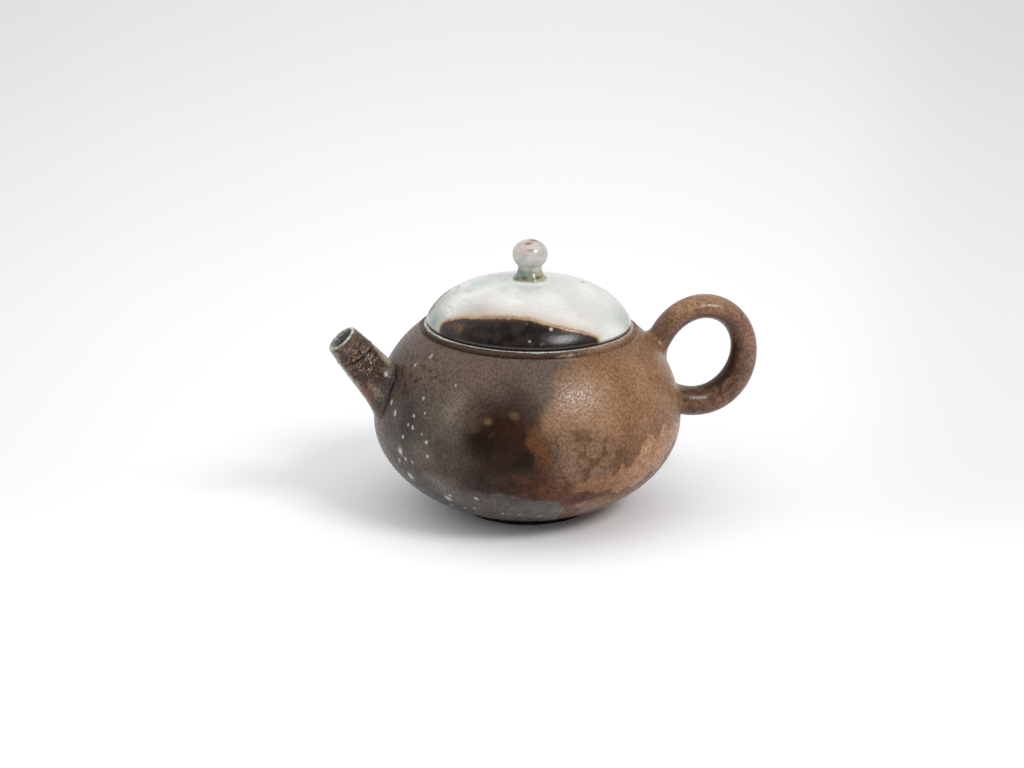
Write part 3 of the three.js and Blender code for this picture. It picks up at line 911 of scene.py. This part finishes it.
handle_lines, handle_points = 72, 160
top_fillet, low_fillet, low_fillet_inside = 2.6, 1.2, 1.6
lines = []
whole = np.arange(1601)
for around in np.linspace(0, 2 * math.pi, handle_lines, endpoint=False):
    line, sideways = handle_line(around, whole / whole[-1])
    inner_side = 0.5 - 0.5 * math.cos(around)
    half = len(line) // 2
    top_last, top_root = rooted(line[:half][::-1], sideways[:half][::-1], top_fillet)
    low_last, low_root = rooted(line[half:], sideways[half:], low_fillet + low_fillet_inside * inner_side)
    middle = between(line, np.linspace(half - 1 - top_last, half + low_last, handle_points)[1:-1])
    lines.append(np.vstack([top_root[::-1], middle, low_root]))
points, faces = tube(lines, True, True)
handle = solid("handle_pulled", points, faces)

shader, place = ceramic("handle_glaze", 0.28, 0.36)
grain = leather(place)
blots = place.cloud(3.2, 3, 0.6)
middle = place.vector("SUBTRACT", tuple(handle_centre))
x, y, z = middle.parts()
from_middle = (x * x + z * z) ** 0.5
colour = place.cloud(7, 3).step(0.35, 0.65).mix(tone(116, 80, 55), tone(134, 98, 69))
# Painted light: the upper part of the outer curve is coloured a lighter tan where the lamp falls on it
painted_light_outer_top = (from_middle + (blots - 0.5) * 3).step(15.5, 17) * (z + x * 0.3).step(-4, 9)
colour = (painted_light_outer_top * 0.7).mix(colour, tone(152, 119, 93))
# Stains and burns, and the inner side painted darker as painted shade
stained = place.cloud(1.8, 3, 0.6).step(0.46, 0.6) * place.cloud(6, 2).step(0.4, 0.6)
colour = (stained * 0.55).mix(colour, tone(78, 50, 34))
burnt = place.cloud(2, 3, 0.6).step(0.44, 0.58) * (z * -1 - (from_middle - 16) * 0.8).step(-3, 8)
# Painted shade on the inner half of the coil, towards the hole
colour = ((from_middle - 15.5).step(0.5, -2) * 0.7).mix(colour, tone(98, 74, 62))
colour = (x.step(2, 11) * (from_middle - 16).step(-1.5, 1) * 0.7).mix(colour, tone(126, 92, 78))
colour = (z.step(-2, -12) * blots.step(0.42, 0.6) * 0.6).mix(colour, tone(96, 62, 38))
colour = (x.step(2, 10) * blots.step(0.52, 0.62) * 0.45).mix(colour, tone(80, 54, 42))
colour = (burnt * 0.6).mix(colour, tone(62, 37, 21))
# Painted shade, darkest, on the inside of the ring's far arch
colour = ((from_middle - 10.9).step(1.2, -0.2) * x.step(-4, 5) * 0.9).mix(colour, tone(48, 31, 22))
colour = (x.step(-8, -12) * z.step(4, 8) * 0.6).mix(colour, tone(92, 66, 48))
# At the roots it takes on the body's colour, where slip was smoothed over both
smoothed_in = off_wall(place).step(3.6, 0.4) * 0.9
body_colour = place.cloud(13, 3).step(0.34, 0.66).mix(tone(116, 84, 58), tone(130, 97, 70))
colour = smoothed_in.mix(colour, body_colour)
feed(shader, Base_Color=colour.times(0.6 + grain * 0.68))
feed(shader, Normal=bumped(grain * 0.7 + place.cloud(2.6, 2) * 1.2, 0.035))
feed(shader, Roughness=0.34 - grain * 0.2)
handle.data.materials.append(material_of(shader))
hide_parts("handle")
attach(handle, "pot")


# Lid flange: a plain clay ring under the lid, thrown with it, that drops into the mouth and keeps the lid
# from sliding
flange_radius = corners("lid_flange")[1][1]
flange_width = 2.6
flange_drop = 3.6
inner_round, outer_round = 0.5, 0.7
seat_gap = 0.3
seat_height = collar_height + seat_gap
flange_line = np.array([
    *arc((flange_radius - flange_width + inner_round, inner_round - flange_drop), inner_round, 180, 270),
    *arc((flange_radius - outer_round, outer_round - flange_drop), outer_round, 270, 360),
    (flange_radius, seat_height - seat_gap),
    (flange_radius - flange_width, seat_height - seat_gap),
])
flange_line = even(np.vstack([flange_line, flange_line[:1]]), 0.5)[:-1]
points, faces = turned(flange_line + (0, collar_base), 192, closed=True)
flange = solid("flange_turned", leaned(points), faces)
flange.data.materials.append(inside_clay)
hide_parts("lid_flange")
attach(flange, "lid_ring")


# Lid dome: thrown of a pale clay under a glossy celadon glaze, with a small vent hole towards the handle.
# The glaze stops short at the front, where a bare patch fired nearly black inside an orange edge.
lid_radius = corners("lid_dome")[1][1]
lid_rise = 12.5
lid_edge = 0.75
lid_out = 3.13
lid_up = 1.36
lid_wall = 3.2
lid_hollow_out = 2.4
lid_hollow_up = 2.2
vent_radius = 0.75
vent_reach = 17
widest = seat_height + lid_edge
crown = widest + lid_rise
hollow_radius = flange_radius - flange_width
hollow_rise = crown - lid_wall - seat_height


def oval_line(radius, rise, out, up, step):
    """A quadrant of an oval from its widest point to its top, with even points."""
    share = np.sin(np.linspace(0, math.pi / 2, 900))
    return even(np.column_stack([radius * (1 - share**up) ** (1 / out), rise * share]), step)


dome_line = np.vstack([
    arc((lid_radius - lid_edge, widest), lid_edge, -90, 0)[:-1],
    oval_line(lid_radius, lid_rise, lid_out, lid_up, 0.5) + (0, widest),
    (oval_line(hollow_radius, hollow_rise, lid_hollow_out, lid_hollow_up, 0.9) + (0, seat_height))[::-1],
])
dome_line[np.abs(dome_line[:, 0]) < 1e-3, 0] = 0
points, faces = turned(dome_line + (0, collar_base), closed=True)
dome = solid("dome_thrown", leaned(points), faces)
points, faces = turned(rod_line(vent_radius, crown - 8, crown + 3), 32)
cut(dome, solid("vent_drill", leaned(points + (vent_reach, 0, collar_base)), faces))

shader, place = ceramic("celadon_lid", 0.14)
square = mouth_place(place)
angle, height, chart = chart_of(square)
*_, loose_chart = chart_of(square, 2.5)
soft = square.cloud(9, 3)
fine = square.cloud(1.1, 3, 0.6)
brushed = square.vector("MULTIPLY", (0.25, 0.25, 1.6)).cloud(1.4, 3, 0.6)
colour = soft.step(0.35, 0.65).mix(tone(206, 205, 201), tone(222, 221, 218))
colour = blotched(colour, loose_chart, [
    # The darker blotches on the left, away from the lamp (at -52, -84 and -102 degrees), are partly the
    # glaze's own tone and partly painted shade
    ((-52, 10.5), (32, 4.5), 0.85, tone(178, 170, 162)),
    ((42, 9), (30, 6), 0.5, tone(194, 192, 187)),
    ((-84, 4.6), (15, 4.6), 0.85, tone(108, 126, 119)),
    ((10, 9.5), (34, 3.6), 0.5, tone(216, 203, 193)),
    ((-102, 7), (24, 8), 0.85, tone(120, 138, 130)),
    ((-104, 14.3), (34, 1.6), 0.7, tone(156, 178, 168)),
    ((-78, 5), (9, 4), 0.6, tone(150, 176, 166)),
    ((62, 6), (24, 5), 0.9, tone(160, 172, 160)),
    ((20, 12), (60, 5), 0.4, tone(196, 196, 193)),
    ((40, 11), (24, 4), 0.4, tone(196, 200, 197)),
    ((120, 8), (50, 6), 0.35, tone(190, 198, 192)),
])
colour = (brushed.step(0.5, 0.7) * angle.step(-40, -80) * 0.3).mix(colour, tone(130, 150, 142))
colour = (brushed.step(0.52, 0.75) * 0.3).mix(colour, tone(176, 178, 172))
around_knob = height.step(14.3, 15.1) * 0.7 * (brushed * 0.2 + soft * 0.8).step(0.36, 0.6)
colour = (around_knob * (angle + 60).math("COSINE").step(-2, 1)).mix(colour, tone(176, 194, 184))

# The bare patch, its mottles and its orange edge
top_edge = angle.along([
    (-80, 4.6), (-74.6, 5.4), (-72.8, 6.3), (-67, 7.4), (-59, 8.6), (-46, 9.3), (-25, 10),
    (-15, 9.9), (-8.4, 9.2), (4.9, 7.5), (18.6, 5.6), (24.9, 4.2), (30, 2.6),
])
left_end = (angle + 75.2) * 0.5 + (height - 4).math("MINIMUM", 0) * 0.4
right_end = (26.2 - angle) * 0.55
inside_edge = (top_edge - height).math("MINIMUM", left_end).math("MINIMUM", right_end)
far = chart.vector("SUBTRACT", (-121, 4, 0)).vector("DIVIDE", (19, 6.4, 1)).vector("LENGTH", output=1)
far_inside = (1 - far) * 4 + (square.cloud(5, 2) - 0.5) * 5
inside_edge = inside_edge.either(far_inside) + (fine - 0.5) * 1.1 + (soft - 0.5) * 0.8
bare = inside_edge.step(-0.1, 0.3)
halo = inside_edge.step(-3.4, -0.3) * (soft * 0.5 + fine * 0.5).step(0.2, 0.5) * angle.step(-92, -80)
colour = (halo * 0.65).mix(colour, tone(182, 164, 140))
glow = inside_edge.step(-1.1, -0.3)
ochre = soft.step(0.4, 0.6).mix(tone(160, 134, 96), tone(138, 98, 62))
colour = (glow * 0.8).mix(colour, ochre)
dark = square.cloud(3, 3).step(0.38, 0.66).mix(tone(18, 14, 12), tone(44, 36, 30))
dark = (chart.spot((-61, 5.9), (8, 2.4)) * fine.step(0.35, 0.6) * 0.9).mix(dark, tone(108, 78, 50))
dark = (chart.spot((-8, 3.9), (3, 0.8)) * fine.step(0.35, 0.6) * 0.9).mix(dark, tone(120, 84, 58))
dark = (height.step(4, 2.4) * 0.7).mix(dark, tone(15, 12, 11))
far_dark = square.cloud(2.4, 3).step(0.35, 0.65).mix(tone(38, 24, 20), tone(70, 42, 33))
dark = angle.step(-86, -92).mix(dark, far_dark)
dark = inside_edge.step(1.1, 0.2).mix(dark, tone(70, 40, 22))
colour = bare.mix(colour, dark)
edge_line = height.step(2.15, 2.4) * height.step(2.95, 2.7)
colour = (edge_line * 0.6).mix(colour, angle.step(-10, 10).mix(tone(74, 66, 60), tone(64, 52, 44)))
dots = chart.spot((-2, 7.7), (1.6, 0.6), 0.3).either(chart.spot((-15, 4.7), (1.3, 0.5), 0.2) * 0.6)
colour = (dots * 0.8).mix(colour, tone(196, 192, 182))
under = height.step(2.2, 1.9)
colour = under.mix(colour, tone(140, 128, 116))
pit = chart.spot((57, 13.5), (1.6, 0.2), 0.3).either(chart.spot((-17, 9), (1.2, 0.5), 0.3) * 0.5)
colour = (pit * 0.4).mix(colour, tone(110, 112, 106))
feed(shader, Base_Color=colour.times(0.93 + 0.12 * fine))
feed(shader, Roughness=0.14 + bare * 0.14 + under * 0.3)
feed(shader, Normal=bumped(inside_edge.step(0.3, -0.5) * 3 + soft + brushed * 0.6 + fine * bare * 0.7, 0.05))
dome.data.materials.append(material_of(shader))
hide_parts("lid_dome")
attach(dome, "lid")


# Lid knob: a small ball on a short flared neck, under the same celadon, with rust-red spots on top. The
# glaze ran down the neck and pooled at its foot, green and ochre like glass.
knob_radius = 5.5
knob_half_height = 4.65
knob_lift = 8.3999
neck_radius = 3.6
knob_foot_radius = 7.3
ball_height = crown + knob_lift
meet = math.acos(neck_radius / knob_radius)
neck_height = ball_height - knob_half_height * math.sin(meet)
knob_foot = crown - 0.16
sweep = np.linspace(0, math.pi / 2, 40)
flare = np.column_stack([
    knob_foot_radius - (knob_foot_radius - neck_radius) * np.sin(sweep),
    neck_height - (neck_height - knob_foot) * np.cos(sweep),
])
lift = np.linspace(-meet, math.pi / 2, 80)
round_part = np.column_stack([knob_radius * np.cos(lift), ball_height + knob_half_height * np.sin(lift)])
knob_line = even(np.vstack([flare, round_part[1:]]), 0.25)
for _ in range(8):
    knob_line[1:-1] = (knob_line[:-2] + 2 * knob_line[1:-1] + knob_line[2:]) / 4
knob_line[-1, 0] = 0
knob_line = np.vstack([[(0, crown - 1)], [(knob_foot_radius, crown - 1)], knob_line])
points, faces = turned(knob_line, 128)
# Swellings where the glaze pooled: their angle, height and depth
pools = [
    (-64, 16.9, 0.35), (-2, 17.2, 0.3), (39, 16.6, 0.4),
    (90, 16.4, 0.3), (150, 16.8, 0.35), (-130, 16.6, 0.3),
]
pool_spread, pool_thick = 17, 0.8
for i, (x, y, z) in enumerate(points):
    radius = math.hypot(x, y)
    if radius < 2 or z < crown - 0.5 or z > ball_height - 4:
        continue
    at_angle = math.degrees(math.atan2(x, -y))
    for pool_angle, pool_height, depth in pools:
        apart = (at_angle - pool_angle + 180) % 360 - 180
        swell = depth * math.exp(-((apart / pool_spread) ** 2) - ((z - pool_height) / pool_thick) ** 2)
        points[i, :2] *= 1 + swell / radius
knob = solid("knob_thrown", leaned(points + (0, 0, collar_base)), faces)

shader, place = ceramic("celadon_knob", 0.13)
square = mouth_place(place)
angle, height, _ = chart_of(square, 0.8)
soft = square.cloud(4, 3)
fine = square.cloud(0.8, 3, 0.6)
thrown = square.vector("MULTIPLY", (0.2, 0.2, 1.5)).cloud(0.9, 2)
colour = soft.step(0.35, 0.65).mix(tone(176, 172, 166), tone(197, 194, 188))
colour = (thrown.step(0.45, 0.7) * 0.35).mix(colour, tone(160, 156, 148))
rosy = square.vector("DISTANCE", (-3.2, -2.4, 26.4), output=1).step(4, 0.5)
colour = (rosy * 0.5).mix(colour, tone(196, 168, 160))
# The neck: green glaze to the left, thinner and tan to the right
neck = (height + (soft - 0.5) * 2).step(20.8, 18.4)
teal_side = angle + (soft - 0.5) * 80
teal = teal_side.along([(-180, 0.7), (-90, 1), (-20, 0.8), (20, 0.3), (90, 0.15), (180, 0.7)])
neck_colour = teal.mix(tone(176, 168, 142), tone(92, 120, 106))
colour = (neck * 0.85).mix(colour, neck_colour)
# Rust-red spots on top: their middle, reach and strength
stains = [((-1.3, -2.4, 27.6), 1.25, 0.85), ((0.8, -0.7, 28.1), 1.6, 0.95), ((-1.3, -4.4, 25.9), 1, 0.5)]
for middle, reach, strength in stains:
    apart = square.vector("SUBTRACT", middle).vector("MULTIPLY", (0.7, 1, 1.5)).vector("LENGTH", output=1)
    stain = (apart + (fine - 0.5) * 1.2).step(reach * 1.1, reach * 0.2) * strength
    colour = stain.mix(colour, apart.step(reach, 0).mix(tone(164, 112, 88), tone(104, 48, 36)))
pooled = (height + (fine - 0.5) * 1.6).step(18.2, 16.8) * height.step(15.6, 16.1)
pooled = pooled * square.cloud(2.1, 2).step(0.42, 0.55)
colour = (pooled * 0.85).mix(colour, fine.step(0.4, 0.6).mix(tone(74, 62, 36), tone(146, 128, 84)))
colour = ((height + (soft - 0.5) * 0.8).step(16.3, 15.6)).mix(colour, tone(208, 212, 207))
feed(shader, Base_Color=colour.times(0.92 + 0.14 * fine))
feed(shader, Normal=bumped(soft + 0.3 * fine + thrown * 0.5, 0.07))
knob.data.materials.append(material_of(shader))
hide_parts("lid_knob")
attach(knob, "lid")


# Studio: the pot stands on a white paper sweep under one large soft lamp up to the right, in a pale room
# that is darker in front
camera_azimuth, camera_elevation = math.radians(-15), math.radians(17.62)
camera_distance = 860.6
camera_aim = np.array([axis_x, 18.3, 33.8])


def direction(azimuth, elevation):
    """Out from the pot: azimuth 0 is the front, positive towards the handle."""
    flat = math.cos(elevation)
    return np.array([math.sin(azimuth) * flat, -math.cos(azimuth) * flat, math.sin(elevation)])


def aimed(name, data, place, target):
    """A camera or a lamp at a place in millimetres, turned towards a target."""
    thing = bpy.data.objects.new(name, data)
    thing.location = place / 1000
    thing.rotation_euler = Vector(target - place).to_track_quat("-Z", "Y").to_euler()
    bpy.context.scene.collection.objects.link(thing)
    return thing


lens = bpy.data.cameras.new("camera")
lens.lens, lens.sensor_width, lens.clip_end = 94.92, 36, 60
away = direction(camera_azimuth, camera_elevation)
camera = aimed("camera", lens, camera_aim + camera_distance * away, camera_aim)
bpy.context.scene.camera = camera

lamp_distance = 3000
lamp = bpy.data.lights.new("softbox", "AREA")
lamp.shape, lamp.size, lamp.size_y = "RECTANGLE", 1.1, 0.8
lamp.energy = 41
aimed("softbox", lamp, camera_aim + lamp_distance * direction(math.radians(33), math.radians(42)), camera_aim)

half_floor = 9
mesh = bpy.data.meshes.new("floor")
rim = [(half_floor * math.cos(t), half_floor * math.sin(t), 0) for t in np.linspace(0, 2 * math.pi, 65)[:-1]]
mesh.from_pydata(rim, [], [list(range(len(rim)))])
sweep = bpy.data.objects.new("floor", mesh)
sweep.location.z = -0.05 / 1000
bpy.context.scene.collection.objects.link(sweep)
paper = bpy.data.materials.new("white_paper")
paper.use_nodes = True
nodes = paper.node_tree.nodes
sheen = nodes["Principled BSDF"]
sheen.inputs["Roughness"].default_value = 1
sheen.inputs["Specular IOR Level"].default_value = 0
place = Wire(nodes).node("ShaderNodeTexCoord", output=3)
stand = camera_aim + camera_distance * away
ahead = direction(camera_azimuth + math.pi, 0)
offset = place.vector("MULTIPLY_ADD", (1000, 1000, 1000), (-stand[0], -stand[1], 0))
depth = offset.vector("DOT_PRODUCT", tuple(ahead), output=1)
aside = offset.vector("DOT_PRODUCT", (-ahead[1], ahead[0], 0), output=1) / depth
# The paper is painted darker far off and to the sides: painted shade for the light's fall-off
fall = depth.along([(0, 1), (690, 1), (800, 0.93), (1000, 0.9), (1250, 0.85), (1750, 0.79), (2600, 0.78)])
sides = aside.along([
    (-0.3, 0.2), (-0.19, 0.17), (-0.1, 0.04), (0, 0), (0.12, 0.04), (0.19, 0.09), (0.3, 0.15),
])
shade = fall * (1 - sides * depth.step(620, 850))
feed(sheen, Base_Color=shade.mix((0, 0, 0, 1), (0.96, 0.963, 0.985, 1)))
# Seen from below, the paper is clear, so that the pot's underside shows
from_below = shade.node("ShaderNodeNewGeometry", output=6)
white = Wire(nodes, sheen.outputs[0])
clear = shade.node("ShaderNodeBsdfTransparent")
either_side = from_below.node("ShaderNodeMixShader", {}, {0: from_below, 1: white, 2: clear})
paper.node_tree.links.new(either_side.socket, nodes["Material Output"].inputs["Surface"])
mesh.materials.append(paper)

world = bpy.data.worlds.new("room")
world.use_nodes = True
nodes = world.node_tree.nodes
bpy.context.scene.world = world
start = Wire(nodes)
toward = start.node("ShaderNodeTexCoord", output=0)
sky = toward.vector("DOT_PRODUCT", (-0.35, 0.12, 0.93), output=1).step(-0.5, 1) + 0.13
mirrored = toward.parts()[1].step(-0.5, 0.8) * 0.8 + 0.1
glossy = start.node("ShaderNodeLightPath", output="Is Glossy Ray")
shown = start.node("ShaderNodeLightPath", output="Is Camera Ray")
level = glossy * mirrored + shown + (1 - glossy) * (1 - shown) * sky
world.node_tree.links.new(level.socket, nodes["Background"].inputs["Strength"])
nodes["Background"].inputs["Color"].default_value = (1, 1, 1, 1)

bpy.context.scene.view_settings.view_transform = "Standard"
